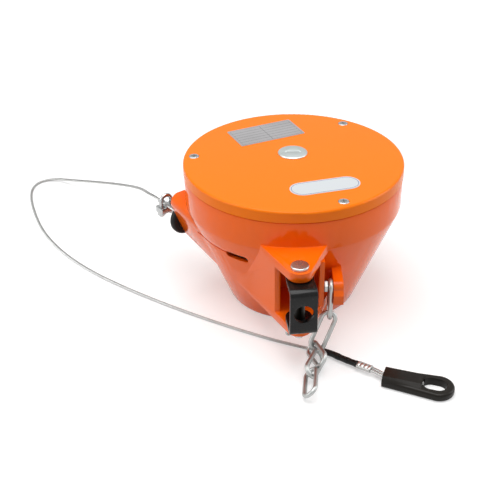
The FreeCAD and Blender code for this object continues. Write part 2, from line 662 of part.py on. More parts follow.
def drum_screws():
    """Pan head screws that hold the drum's cover."""
    rim = DRUM_HIGH + DRUM_WEB
    top = rim + DRUM_COVER_THICK
    screws = []
    for spot in drum_screw_places():
        head = cylinder(DRUM_SCREW_HEAD, top, top + DRUM_SCREW_HEAD_HEIGHT, spot)
        shank = cylinder(DRUM_SCREW_RADIUS, rim - DRUM_SCREW_LENGTH, top, spot)
        screws.append(head.fuse(shank).removeSplitter())
    return Part.makeCompound(screws)


def rope_windings():
    turns = []
    for z in turn_heights():
        turns.append(Part.makeTorus(drum_radius(z) + ROPE_RADIUS, ROPE_RADIUS, V(AXIS.x, AXIS.y, z)))
    return Part.makeCompound(turns)


def drum_cover():
    low = DRUM_HIGH + DRUM_WEB
    outer = drum_radius(DRUM_HIGH) + 2 * ROPE_RADIUS + DRUM_FLANGE - 1
    profile = [(AXLE_RADIUS + BUSH_WALL, low), (outer, low), (outer, low + DRUM_COVER_THICK)]
    hub_top = low + DRUM_COVER_THICK + DRUM_COVER_HUB
    profile += [(DRUM_HUB, low + DRUM_COVER_THICK), (DRUM_HUB, hub_top), (AXLE_RADIUS + BUSH_WALL, hub_top)]
    holes = [cylinder(DRUM_SCREW_RADIUS + SLIP, low - 1, hub_top, spot) for spot in drum_screw_places()]
    return turned(profile, AXIS).cut(holes)


def spiral_strip(inner, outer, turns, thick):
    """Outline face of a spiral made of half-turn arcs."""
    step = (outer - inner) / (2 * turns)
    sides = []
    for offset in (0, thick):
        edges = []
        radius = inner + offset
        x = radius
        for half in range(2 * turns):
            sign = 1 if half % 2 == 0 else -1
            nxt = -sign * (inner + offset + step * (half + 1))
            middle_x = (x + nxt) / 2
            arc_radius = abs(x - nxt) / 2
            edges.append(Part.Arc(V(x, 0, 0), V(middle_x, sign * arc_radius, 0), V(nxt, 0, 0)).toShape())
            x = nxt
        sides.append((edges, V(radius, 0, 0), V(x, 0, 0)))
    caps = [Part.makeLine(sides[0][1], sides[1][1]), Part.makeLine(sides[0][2], sides[1][2])]
    return Part.Face(Part.Wire(Part.__sortEdges__(sides[0][0] + sides[1][0] + caps)))


def power_spring():
    strip = spiral_strip(SPRING_HUB_RADIUS + 0.4, SPRING_CASE_RADIUS - SPRING_STRIP, SPRING_TURNS, SPRING_STRIP)
    spring = strip.extrude(V(0, 0, SPRING_WIDTH))
    spring.translate(AXIS + UP * (DRUM_LOW + SPRING_REST))
    return spring


def spring_hub():
    return tube(SPRING_HUB_RADIUS, AXLE_RADIUS, DRUM_LOW + SPRING_REST - 1, DRUM_HIGH + DRUM_WEB - 1, AXIS)


# ---- worm adjuster ----
def worm_wheel():
    pitch_radius = GEAR_MODULE * WHEEL_TEETH / 2
    tip, root = pitch_radius + GEAR_MODULE, pitch_radius - 1.25 * GEAR_MODULE
    step = 2 * pi / WHEEL_TEETH
    half_tip = (0.25 * step * pitch_radius - GEAR_MODULE * tan(radians(20)) - WORM_BACKLASH / 2) / tip
    half_root = (0.25 * step * pitch_radius + GEAR_MODULE * tan(radians(20)) - WORM_BACKLASH / 2) / root
    outline = []
    for i in range(WHEEL_TEETH):
        mid = i * step + pi / 2
        tooth = ((root, -half_root), (tip, -half_tip), (tip, half_tip), (root, half_root))
        for radius, angle in tooth:
            outline.append((AXIS.x + radius * cos(mid + angle), AXIS.y + radius * sin(mid + angle)))
    lead = GEAR_MODULE / (2 * WORM_PITCH_RADIUS)
    twist = degrees(lead * WHEEL_WIDTH / pitch_radius)
    ends = []
    for share in (-0.5, 0.5):
        points = [V(x, y, WHEEL_LOW + (share + 0.5) * WHEEL_WIDTH) for x, y in outline]
        wire = Part.makePolygon(points + points[:1])
        wire.rotate(AXIS, UP, share * twist)
        ends.append(wire)
    wheel = Part.makeLoft(ends, True, True)
    hub_top = WHEEL_LOW + WHEEL_WIDTH + WHEEL_HUB_RISE
    wheel = wheel.fuse(cylinder(AXLE_RADIUS + WHEEL_HUB_WALL, WHEEL_LOW, hub_top, AXIS))
    return wheel.cut(cylinder(AXLE_RADIUS, 0, BODY_HEIGHT, AXIS))


def worm():
    """Worm along X with one right-hand thread."""
    pitch = pi * GEAR_MODULE
    length = WORM_TURNS * pitch
    tip = WORM_PITCH_RADIUS + GEAR_MODULE
    root = WORM_CORE
    height = tip - root
    half_root = pitch / 4 + (WORM_PITCH_RADIUS - root) * tan(radians(20)) - WORM_BACKLASH / 2
    half_tip = pitch / 4 - GEAR_MODULE * tan(radians(20)) - WORM_BACKLASH / 2
    helix = Part.makeHelix(pitch, length, root - 0.4)
    points = [V(root - 0.4, 0, -half_root), V(tip, 0, -half_tip)]
    points += [V(tip, 0, half_tip), V(root - 0.4, 0, half_root)]
    profile = Part.makePolygon(points + points[:1])
    sweep = Part.BRepOffsetAPI.MakePipeShell(Part.Wire(helix.Edges))
    sweep.setFrenetMode(True)
    sweep.add(profile, False, False)
    sweep.build()
    sweep.makeSolid()
    thread = sweep.shape()
    thread.translate(V(0, 0, -length / 2))
    core = cylinder(root, -WORM_LENGTH / 2, WORM_LENGTH / 2)
    body = core.fuse(thread)
    centre = worm_axis()
    mouth = gland_mouth() + WORM_END_PLAY
    outer = mouth + WORM_COLLAR_LENGTH
    shaft = cylinder(WORM_SHAFT, -WORM_LENGTH / 2 - WORM_BLOCK_GAP - WORM_BLOCK_LENGTH * 0.9, outer)
    collar = cylinder(WORM_SHAFT + WORM_COLLAR_STEP, mouth, outer)
    socket = hex_prism(WORM_KEY * sqrt(3), outer - WORM_KEY_DEPTH, outer + 1)
    body = fuse_all([body, shaft, collar]).cut(socket)
    body.rotate(V(0, 0, 0), V(0, 1, 0), 90)
    body.rotate(V(0, 0, 0), V(1, 0, 0), -90)     # a tooth gap faces the wheel at X = 0
    body.translate(centre)
    return body


# ---- rope outlet ----
def outlet_bush():
    flange = rod(BUSH_FLANGE, outlet_point(NOSE_END), outlet_point(NOSE_END + BUSH_FLANGE_THICK))
    spigot = rod(BUSH_SPIGOT, outlet_point(NOSE_END - WALL), outlet_point(NOSE_END))
    bore = rod(ROPE_RADIUS + 0.4, outlet_point(NOSE_END - WALL - 1), outlet_point(NOSE_END + 5))
    return flange.fuse(spigot).removeSplitter().cut(bore)


def rope_buffer():
    start = NOSE_END + BUSH_FLANGE_THICK
    disc = rod(BUFFER_RADIUS, outlet_point(start), outlet_point(start + BUFFER_LENGTH))
    disc = disc.makeFillet(BUFFER_ROUND, [e for e in disc.Edges if isinstance(e.Curve, Part.Circle)])
    return disc.cut(rod(ROPE_RADIUS + 0.1, outlet_point(start - 1), outlet_point(start + BUFFER_LENGTH + 1)))


def rope_lead():
    """Rope from beside the drum's middle turn, through the bush and buffer, to the clip."""
    corner = outlet_point(NOSE_END - WALL - LEAD_CORNER)
    reach = drum_radius(OUTLET_Z) + 3 * ROPE_RADIUS + LEAD_GAP
    away = V(corner.x - AXIS.x, corner.y - AXIS.y, 0)
    turn = acos(reach / away.Length)
    radial = away.normalize() * reach
    radial = V(radial.x * cos(turn) - radial.y * sin(turn), radial.x * sin(turn) + radial.y * cos(turn), 0)
    touch = AXIS + radial + UP * OUTLET_Z
    return swept_tube([touch, corner, outlet_point(CLIP_START + CLIP_LENGTH)], ROPE_RADIUS, LEAD_BEND)


def clip_frame(shape):
    """Moves a shape built about X, across, and Z onto the rope line at the clip."""
    shape.rotate(V(0, 0, 0), UP, OUTLET_BEARING)
    shape.translate(outlet_point(CLIP_START + CLIP_LENGTH / 2))
    return shape


def stop_clip():
    """U-bolt over the rope."""
    bend = Part.makeTorus(CLIP_SPACING, CLIP_LEG, V(0, 0, CLIP_CROWN), V(1, 0, 0))
    over = 2 * CLIP_SPACING
    bend = bend.common(Part.makeBox(2 * over, 2 * over, over, V(-over, -over, CLIP_CROWN)))
    legs = [cylinder(CLIP_LEG, -CLIP_TAIL, CLIP_CROWN, V(0, s * CLIP_SPACING, 0)) for s in (-1, 1)]
    return clip_frame(fuse_all([bend] + legs))


def stop_saddle():
    """Block under the rope with a round groove for it."""
    half = CLIP_SPACING + SADDLE_END
    block = Part.makeBox(CLIP_LENGTH, 2 * half, SADDLE_BOTTOM, V(-CLIP_LENGTH / 2, -half, -SADDLE_BOTTOM))
    block = block.makeFillet(SADDLE_ROUND, [e for e in block.Edges if abs(e.tangentAt(0).z) > 0.9])
    cuts = [rod(ROPE_RADIUS, V(-CLIP_LENGTH, 0, 0), V(CLIP_LENGTH, 0, 0))]
    step = CLIP_SPACING - CLIP_LEG - SLIP
    for side in (-1, 1):
        cuts.append(cylinder(CLIP_LEG + SLIP, -SADDLE_BOTTOM - 1, 1, V(0, side * CLIP_SPACING, 0)))
        corner = V(-CLIP_LENGTH, min(side * step, side * (step + half)), -SADDLE_TOP)
        cuts.append(Part.makeBox(2 * CLIP_LENGTH, half, SADDLE_TOP + 1, corner))
    return clip_frame(block.cut(cuts))


def hex_prism(across_flats, low, high):
    r = across_flats / sqrt(3)
    return prism([(r * cos(radians(60 * i)), r * sin(radians(60 * i))) for i in range(6)], low, high)


def stop_nuts():
    nuts = []
    for side in (-1, 1):
        nut = hex_prism(CLIP_NUT_FLATS, -SADDLE_BOTTOM - CLIP_NUT_THICK, -SADDLE_BOTTOM)
        nut = nut.cut(cylinder(CLIP_LEG, -CLIP_TAIL - 1, 0))
        nut.translate(V(0, side * CLIP_SPACING, 0))
        nuts.append(nut)
    return clip_frame(Part.makeCompound(nuts))


def rope_collar():
    """Crimped collar on the rope behind the clip."""
    start = CLIP_START + CLIP_LENGTH + COLLAR_GAP
    collar = rod(COLLAR_RADIUS, outlet_point(start), outlet_point(start + COLLAR_LENGTH))
    collar = collar.makeFillet(COLLAR_EDGE, [e for e in collar.Edges if isinstance(e.Curve, Part.Circle)])
    return collar.cut(rod(ROPE_RADIUS, outlet_point(start - 1), outlet_point(start + COLLAR_LENGTH + 1)))


# ---- rope and its end ----
def rounded_path(points, share):
    """Straight runs joined by tangent arcs, each as large as its two runs allow."""
    pts = [V(*p) for p in points]
    edges, start = [], pts[0]
    for before, corner, after in zip(pts, pts[1:], pts[2:]):
        a, b = (before - corner).normalize(), (after - corner).normalize()
        cut = share * min((before - corner).Length, (after - corner).Length)
        first, last = corner + a * cut, corner + b * cut
        half = (pi - a.getAngle(b)) / 2
        radius = cut / tan(half)
        middle = corner + (a + b).normalize() * (radius / cos(half) - radius)
        edges.append(Part.LineSegment(start, first).toShape())
        edges.append(Part.Arc(first, middle, last).toShape())
        print("bend radius %.1f mm" % radius)
        start = last
    edges.append(Part.LineSegment(start, pts[-1]).toShape())
    return Part.Wire(edges)


def swept_tube(points, radius, share=0.45):
    path = rounded_path(points, share)
    start = V(*points[0])
    section = Part.Wire(Part.makeCircle(radius, start, V(*points[1]) - start))
    tube_solid = path.makePipeShell([section], True, False)
    wanted = pi * radius ** 2 * path.Length
    print("tube length %.1f mm, volume ratio %.4f" % (path.Length, tube_solid.Volume / wanted))
    return tube_solid


def eye_frame(shape):
    shape.rotate(V(0, 0, 0), UP, EYE_BEARING)
    shape.translate(V(*EYE_START))
    return shape


def eye_hole_start():
    return EYE_LENGTH - EYE_RING_RADIUS - EYE_HOLE_STRETCH - EYE_HOLE_RADIUS


def rope_eye():
    """Moulded eye: a square shank that hides the rope loop, and a thick ring."""
    mid = EYE_START[2]
    corner = V(0, -EYE_BODY_WIDTH / 2, -mid)
    shank = Part.makeBox(EYE_BODY_LENGTH, EYE_BODY_WIDTH, EYE_BODY_HEIGHT, corner)
    shank = shank.makeChamfer(EYE_BODY_CHAMFER, [e for e in shank.Edges if abs(e.tangentAt(0).x) > 0.9])
    ring_x = EYE_LENGTH - EYE_RING_RADIUS
    cheek = [(0, -EYE_BODY_WIDTH / 2), (ring_x, -EYE_RING_RADIUS), (ring_x, EYE_RING_RADIUS), (0, EYE_BODY_WIDTH / 2)]
    ring = cylinder(EYE_RING_RADIUS, -mid, EYE_THICK - mid, V(ring_x, 0, 0))
    ring = fuse_all([prism(cheek, -mid, EYE_THICK - mid), ring])
    ring = ring.makeFillet(EYE_RING_ROUND, [e for e in ring.Edges if isinstance(e.Curve, Part.Circle)])
    solid = fuse_all([shank, ring])
    stations = (ring_x, ring_x - EYE_HOLE_STRETCH)
    ends = [cylinder(EYE_HOLE_RADIUS, -mid - 1, EYE_THICK, V(x, 0, 0)) for x in stations]
    corner = V(ring_x - EYE_HOLE_STRETCH, -EYE_HOLE_RADIUS, -mid - 1)
    bar = Part.makeBox(EYE_HOLE_STRETCH, 2 * EYE_HOLE_RADIUS, EYE_THICK + mid, corner)
    half = 2 * ROPE_RADIUS + STRAND_ROOM
    high = ROPE_RADIUS + STRAND_ROOM
    slot = Part.makeBox(eye_hole_start() + EYE_HOLE_RADIUS, 2 * half, 2 * high, V(-1, -half, -high))
    return eye_frame(solid.cut(ends + [bar, slot]))


def shrink_sleeve():
    return swept_tube(SHRINK_ROUTE, SHRINK_RADIUS)


def rope_ferrule():
    start, end = V(*FERRULE_START), V(*FERRULE_END)
    length = (end - start).Length
    bar = Part.makeBox(length, FERRULE_WIDTH, FERRULE_HEIGHT, V(0, -FERRULE_WIDTH / 2, -FERRULE_HEIGHT / 2))
    bar = bar.makeFillet(FERRULE_HEIGHT / 2 - 0.1, [e for e in bar.Edges if e.BoundBox.XLength > length - 1])
    along = end - start
    bar.rotate(V(0, 0, 0), V(0, 1, 0), -degrees(asin(along.z / along.Length)))
    bar.rotate(V(0, 0, 0), UP, degrees(atan(along.y / along.x)))
    bar.translate(start)
    return bar


def beside(points, offset):
    """The same line shifted sideways in plan."""
    pts = [V(*p) for p in points]
    moved = []
    for i, point in enumerate(pts):
        along = pts[min(i + 1, len(pts) - 1)] - pts[max(i - 1, 0)]
        across = along.cross(UP).normalize()
        moved.append(point + across * offset)
    return moved


def rope_loop():
    """The rope's last turn: two strands from the ferrule through the eye's shank."""
    start, end = V(*FERRULE_START), V(*FERRULE_END)
    along = (end - start).normalize()
    into = V(cos(radians(EYE_BEARING)), sin(radians(EYE_BEARING)), 0)
    spacing = ROPE_RADIUS + STRAND_GAP / 2
    last = V(*EYE_START) + into * (eye_hole_start() + EYE_TURN_SHOWS - spacing - ROPE_RADIUS)
    line = [end + along * 0.05, end + along * 5, V(*EYE_START), last]
    strands = [swept_tube(beside(line, side * spacing), ROPE_RADIUS) for side in (-1, 1)]
    turn = Part.makeTorus(spacing, ROPE_RADIUS, last, UP, -180, 180, 180)
    turn.rotate(last, UP, EYE_BEARING - 90)
    return fuse_all(strands + [turn])


# ---- suspension ----
def suspension_pin():
    shank = cylinder(PIN_RADIUS, LOWER_EAR_BOTTOM - PIN_TAIL, UPPER_EAR_TOP, PIN)
    top = UPPER_EAR_TOP + PIN_HEAD_HEIGHT
    head = cylinder(PIN_HEAD, UPPER_EAR_TOP, top, PIN)
    head = round_edges(head, 1.0, lambda e: is_ring_at(e, top, PIN_HEAD))
    pin = head.fuse(shank).removeSplitter()
    z = LOWER_EAR_BOTTOM - SPLIT_PIN_DROP
    return pin.cut(rod(SPLIT_PIN_RADIUS + 0.1, PIN + V(-20, 0, z), PIN + V(20, 0, z)))


def split_pin():
    z = LOWER_EAR_BOTTOM - SPLIT_PIN_DROP
    shank = rod(SPLIT_PIN_RADIUS, PIN + V(-6.6, 0, z), PIN + V(6, 0, z))
    eye = Part.makeTorus(2.0, SPLIT_PIN_RADIUS, PIN + V(-8.5, 0, z), V(0, 1, 0))
    return fuse_all([shank, eye])


def pin_sleeve():
    low, high = strap_levels()
    low, high = low + STRAP_THICK + 0.2, high - STRAP_THICK - 0.2
    return tube(SLEEVE_RADIUS, PIN_RADIUS + RUNNING, low, high, PIN)


def strap_levels():
    return EAR_GAP_LOW + STRAP_GAP, EAR_GAP_HIGH - STRAP_GAP


def suspension_strap():
    low, high = strap_levels()
    half = STRAP_WIDTH / 2
    outer = Part.makeBox(STRAP_WIDTH, STRAP_REACH + half, high - low, V(-half, -STRAP_REACH, low))
    inner_front = STRAP_THICK - STRAP_REACH
    corner = V(-half - 1, inner_front, low + STRAP_THICK)
    inner = Part.makeBox(STRAP_WIDTH + 2, STRAP_REACH + half, high - low - 2 * STRAP_THICK, corner)

    def front_edge(edge, y):
        return edge.BoundBox.XLength > STRAP_WIDTH - 1 and abs(edge.CenterOfMass.y - y) < 0.1

    outer = outer.makeFillet(STRAP_BEND, [e for e in outer.Edges if front_edge(e, -STRAP_REACH)])
    inner = inner.makeFillet(STRAP_BEND - STRAP_THICK, [e for e in inner.Edges if front_edge(e, inner_front)])
    corner = V(-half, -STRAP_REACH - 1, low - 1)
    plan = Part.makeBox(STRAP_WIDTH, STRAP_REACH + 1, high - low + 2, corner)
    plan = plan.fuse(cylinder(half, low - 1, high + 1))
    strap = outer.cut(inner).common(plan)
    middle = (low + high) / 2
    strap = strap.cut([
        cylinder(PIN_RADIUS + STRAP_PIN_CLEARANCE, low - 1, high + 1),
        rod(STRAP_HOLE, V(0, -STRAP_REACH - 5, middle), V(0, -STRAP_REACH + STRAP_THICK + 5, middle)),
    ])
    return place(strap, UP, STRAP_TURN, PIN)


# ---- chain ----
def chain_bolt():
    start = LUG_X - 2 * LINK_WIRE - 2 * LINK_PLAY
    shank = rod(CHAIN_BOLT_RADIUS, V(start, LUG_Y, LUG_Z), V(LUG_X + CHAIN_BOLT_DEPTH - 0.5, LUG_Y, LUG_Z))
    head = hex_prism(2 * CHAIN_BOLT_HEAD, 0, CHAIN_BOLT_HEAD_THICK)
    head.rotate(V(0, 0, 0), V(0, 1, 0), 90)
    head.translate(V(start - CHAIN_BOLT_HEAD_THICK, LUG_Y, LUG_Z))
    return shank.fuse(head).removeSplitter()


def link_solid():
    """One long link lying along X with its flat side up, centred on the origin."""
    bend = LINK_INSIDE / 2 + LINK_WIRE
    straight = LINK_PITCH + 2 * LINK_WIRE - 2 * bend
    half = straight / 2
    path = Part.Wire([
        Part.makeLine(V(-half, -bend, 0), V(half, -bend, 0)),
        Part.Arc(V(half, -bend, 0), V(half + bend, 0, 0), V(half, bend, 0)).toShape(),
        Part.makeLine(V(half, bend, 0), V(-half, bend, 0)),
        Part.Arc(V(-half, bend, 0), V(-half - bend, 0, 0), V(-half, -bend, 0)).toShape(),
    ])
    section = Part.Wire(Part.makeCircle(LINK_WIRE, V(-half, -bend, 0), V(1, 0, 0)))
    return path.makePipeShell([section], True, False)


def chain_links():
    links = []
    first = link_solid()
    first.rotate(V(0, 0, 0), V(0, 1, 0), 90)
    hang = LUG_Z + CHAIN_BOLT_RADIUS + LINK_WIRE + 0.1 - LINK_PITCH / 2 - LINK_WIRE
    first.translate(V(LUG_X - LINK_WIRE - LINK_PLAY, LUG_Y, hang))
    links.append(first)
    for middle, bearing, pitch, roll in LINK_PLACES:
        link = link_solid()
        link.rotate(V(0, 0, 0), V(1, 0, 0), roll)
        link.rotate(V(0, 0, 0), V(0, 1, 0), -pitch)
        link.rotate(V(0, 0, 0), UP, bearing)
        link.translate(V(*middle))
        links.append(link)
    return links


def build():
    os.makedirs("parts", exist_ok=True)
    save("housing", housing())
    save("cover", cover())
    save("cover_screws", cover_screws())
    save("axle_cap", axle_cap())
    save("rating_plate", rating_plate())
    save("side_label", side_label())
    save("axle", axle())
    save("base_bush", flanged_bush(FLOOR, BASE_BOSS_TOP, BASE_BOSS_TOP))
    save("cover_bush", flanged_bush(COVER_BUSH_LOW, AXLE_TOP - BUSH_RECESS, COVER_BUSH_LOW - BUSH_LIP_THICK))
    bottom, top = DRUM_LOW - DRUM_WEB, DRUM_HIGH + DRUM_WEB
    save("drum_lower_bush", flanged_bush(bottom, bottom + DRUM_BUSH_LENGTH, bottom - BUSH_LIP_THICK))
    bush_top = top + DRUM_COVER_THICK + DRUM_COVER_HUB
    save("drum_upper_bush", flanged_bush(top, bush_top, bush_top))
    save("rope_drum", rope_drum())
    save("drum_cover", drum_cover())
    save("drum_screws", drum_screws())
    save("rope_windings", rope_windings())
    save("power_spring", power_spring())
    save("spring_hub", spring_hub())
    save("worm_wheel", worm_wheel())
    save("worm", worm())
    save("outlet_bush", outlet_bush())
    save("rope_buffer", rope_buffer())
    save("rope_lead", rope_lead())
    save("stop_clip", stop_clip())
    save("stop_saddle", stop_saddle())
    save("stop_nuts", stop_nuts())
    save("rope_collar", rope_collar())
    save("rope", swept_tube(ROPE_ROUTE, ROPE_RADIUS))
    save("shrink_sleeve", shrink_sleeve())
    save("rope_ferrule", rope_ferrule())
    save("rope_loop", rope_loop())
    save("rope_eye", rope_eye())
    save("suspension_pin", suspension_pin())
    save("split_pin", split_pin())
    save("pin_sleeve", pin_sleeve())
    save("suspension_strap", suspension_strap())
    save("chain_bolt", chain_bolt())
    for number, link in enumerate(chain_links(), 1):
        save("chain_link_%d" % number, link)


build()
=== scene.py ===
import json
import math

import bmesh
import bpy
import numpy as np
from mathutils import Matrix, Vector

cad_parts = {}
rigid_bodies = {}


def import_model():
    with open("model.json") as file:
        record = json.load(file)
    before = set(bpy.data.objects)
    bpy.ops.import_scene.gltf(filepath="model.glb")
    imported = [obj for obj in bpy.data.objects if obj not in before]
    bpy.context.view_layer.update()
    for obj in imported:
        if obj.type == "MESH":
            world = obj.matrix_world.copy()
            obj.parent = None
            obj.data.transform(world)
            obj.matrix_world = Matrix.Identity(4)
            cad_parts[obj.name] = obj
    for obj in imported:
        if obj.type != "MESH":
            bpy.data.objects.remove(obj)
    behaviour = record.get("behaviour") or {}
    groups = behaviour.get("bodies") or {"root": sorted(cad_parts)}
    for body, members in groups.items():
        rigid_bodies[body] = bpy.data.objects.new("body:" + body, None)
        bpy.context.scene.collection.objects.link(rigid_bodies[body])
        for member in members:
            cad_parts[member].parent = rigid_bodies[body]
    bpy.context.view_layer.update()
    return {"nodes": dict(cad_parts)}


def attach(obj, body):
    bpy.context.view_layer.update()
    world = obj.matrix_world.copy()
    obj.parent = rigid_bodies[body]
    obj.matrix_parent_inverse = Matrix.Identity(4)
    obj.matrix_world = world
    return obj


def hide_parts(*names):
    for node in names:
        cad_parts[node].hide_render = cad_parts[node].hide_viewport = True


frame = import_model()
nodes = frame["nodes"]
for obj in bpy.data.objects:
    obj.select_set(False)

# ---- measures shared with the frame, in metres ----
ROPE_ROUTE = [
    (-0.12456, 0.04299, 0.0700), (-0.13161, 0.0527, 0.0700), (-0.1420, 0.0700, 0.0663),
    (-0.1525, 0.1015, 0.0548), (-0.1740, 0.1420, 0.0375), (-0.2060, 0.1840, 0.0190),
    (-0.2460, 0.2155, 0.0060), (-0.2690, 0.2270, 0.0022), (-0.2850, 0.2205, 0.0016),
    (-0.2900, 0.2040, 0.0016), (-0.2870, 0.1810, 0.0016), (-0.2790, 0.1530, 0.0016),
    (-0.2620, 0.1080, 0.0016), (-0.2360, 0.0660, 0.0016), (-0.2030, 0.0290, 0.0016),
    (-0.1630, -0.0040, 0.0016), (-0.1170, -0.0365, 0.0016), (-0.0700, -0.0655, 0.0016),
    (-0.0280, -0.0885, 0.0016), (-0.0050, -0.0989, 0.0016), (0.0125, -0.1062, 0.0016),
    (0.0214, -0.1109, 0.0029),
]
SHRINK_ROUTE = [
    (0.0214, -0.1109, 0.0029), (0.0284, -0.1146, 0.00392),
    (0.0394, -0.12435, 0.0040), (0.0511, -0.13285, 0.0047),
]
LEAD_ROUTE = [
    (-0.0359, -0.0420, 0.0700), (-0.0890, -0.0060, 0.0700), (-0.09635, 0.00416, 0.0700),
    (-0.0999, 0.0090, 0.0700), (-0.12456, 0.04299, 0.0700),
]
EYE_START = Vector((0.0715, -0.1500, 0.0056))
EYE_BEARING = math.radians(-19.5)
LOOP_TURN = 0.0314            # middle of the rope's turn inside the eye, from its start
FERRULE_START = Vector((0.0513, -0.1330, 0.0047))
FERRULE_END = Vector((0.0622, -0.1409, 0.00535))
FERRULE_HALF = (0.0042, 0.0027)
LOOP_STRAIGHT = 0.005         # straight run out of the ferrule
STRAND_SPACING = 0.00155      # middle of the loop to each of its two sides
SHRINK_RADIUS = 0.002784
# each swelling of the shrunk sleeve: its place, its width and its rise, as shares
SLEEVE_SWELL = ((0.05, 0.05, 0.07), (0.45, 0.07, 0.10), (0.72, 0.05, 0.06), (0.97, 0.04, 0.12))

# ---- print on the flat pieces ----
LABEL_SIZE = (0.063, 0.023)
LABEL_TURN = math.radians(14.9)
KEYLINE_INSET = 0.0013
KEYLINE_WIDTH = 0.0004
PLATE_SIZE = (0.066, 0.035)
PLATE_TURN = math.radians(24.3)
PLATE_MARGIN = 0.0022
PLATE_COLUMNS = 2
PLATE_ROWS = 6
RULE_WIDTH = 0.0002
PRINT_RISE = 0.00003

# ---- pressed ferrule and rounded edges ----
FERRULE_BITES = (-0.27, 0, 0.27)   # places of the bites, as shares of the length
BITE_REACH = 0.0007
BITE_SQUEEZE = 0.88
FERRULE_RIM = 0.0005
CAST_EDGE = 0.0006
STRAP_EDGE = 0.0005
SADDLE_EDGE = 0.0004
BOLT_EDGE = 0.0003
CAP_EDGE = 0.0002
EDGE_ANGLE = math.radians(35)
SMOOTH_ANGLE = math.radians(40)

# ---- steps of the splines, and sides of the sleeve ----
ROPE_STEPS = 34
LOOP_STEPS = 24
SLEEVE_STEPS = 40
SLEEVE_SIDES = 24

# ---- rope make-up ----
STRANDS = 6
STRAND_RADIUS = 0.00042
STRAND_CIRCLE = 0.00108
STRAND_LAY = 0.016            # one full turn of the strands
STRAND_SIDES = 7
CORE_RADIUS = 0.00090         # near-black core: painted shade, dark in the gaps between the strands

# ---- studio, lengths in metres and powers in watts ----
FLOOR_SIZE = 30
FLOOR_COLOR = (0.66, 0.66, 0.66, 1)
FLOOR_GLOW = 0.41             # the floor as the camera sees it, near the object
GLOW_REACH = 0.6              # where it starts to rise to white
GLOW_RISE = 0.4               # by how much per metre
WORLD_LIGHT = 0.16
MIRROR_LIGHT = 0.75           # the world as polished pieces reflect it
# each lamp: its name, its place, the point it faces, its size and its power
SOFTBOXES = (
    ("overhead_box", (-0.1, -0.1, 1.5), (0, 0, 0.05), (1.6, 1.2), 25.0),
    ("left_box", (-1.3, -0.3, 0.7), (0, 0, 0.07), (0.8, 1.0), 7.0),
    ("right_box", (1.3, 0.1, 0.6), (0, 0, 0.07), (0.6, 1.0), 6.5),
)
CAMERA_LENS = 72
SENSOR_WIDTH = 36
CAMERA_PLACE = (-0.0403, -0.8149, 0.5415)
CAMERA_TILT = math.radians(90 - 31.6)
CAMERA_ROLL = math.radians(-0.8)


# ---- helpers for finishes ----
def new_group(name, inputs, outputs):
    group = bpy.data.node_groups.new(name, "ShaderNodeTree")
    for label, kind, value in inputs:
        socket = group.interface.new_socket(label, in_out="INPUT", socket_type=kind)
        socket.default_value = value
    for label, kind in outputs:
        group.interface.new_socket(label, in_out="OUTPUT", socket_type=kind)
    return group, group.nodes.new("NodeGroupInput"), group.nodes.new("NodeGroupOutput")


def noise_at(tree, coordinates, scale_socket, detail):
    texture = tree.nodes.new("ShaderNodeTexNoise")
    texture.inputs["Detail"].default_value = detail
    tree.links.new(coordinates, texture.inputs["Vector"])
    tree.links.new(scale_socket, texture.inputs["Scale"])
    return texture.outputs["Fac"]


def math_node(tree, operation, first, second):
    node = tree.nodes.new("ShaderNodeMath")
    node.operation = operation
    for socket, value in zip(node.inputs, (first, second)):
        if isinstance(value, (int, float)):
            socket.default_value = value
        else:
            tree.links.new(value, socket)
    return node.outputs[0]


def make_grain_group():
    """Fine surface relief: paint peel, moulding grain or sand-cast skin."""
    group, source, sink = new_group(
        "surface_grain",
        [("Scale", "NodeSocketFloat", 500.0), ("Height", "NodeSocketFloat", 0.00003)],
        [("Normal", "NodeSocketVector")],
    )
    place = group.nodes.new("ShaderNodeTexCoord")
    fine = noise_at(group, place.outputs["Object"], source.outputs["Scale"], 3)
    bump = group.nodes.new("ShaderNodeBump")
    group.links.new(fine, bump.inputs["Height"])
    group.links.new(source.outputs["Height"], bump.inputs["Distance"])
    group.links.new(bump.outputs["Normal"], sink.inputs["Normal"])
    return group


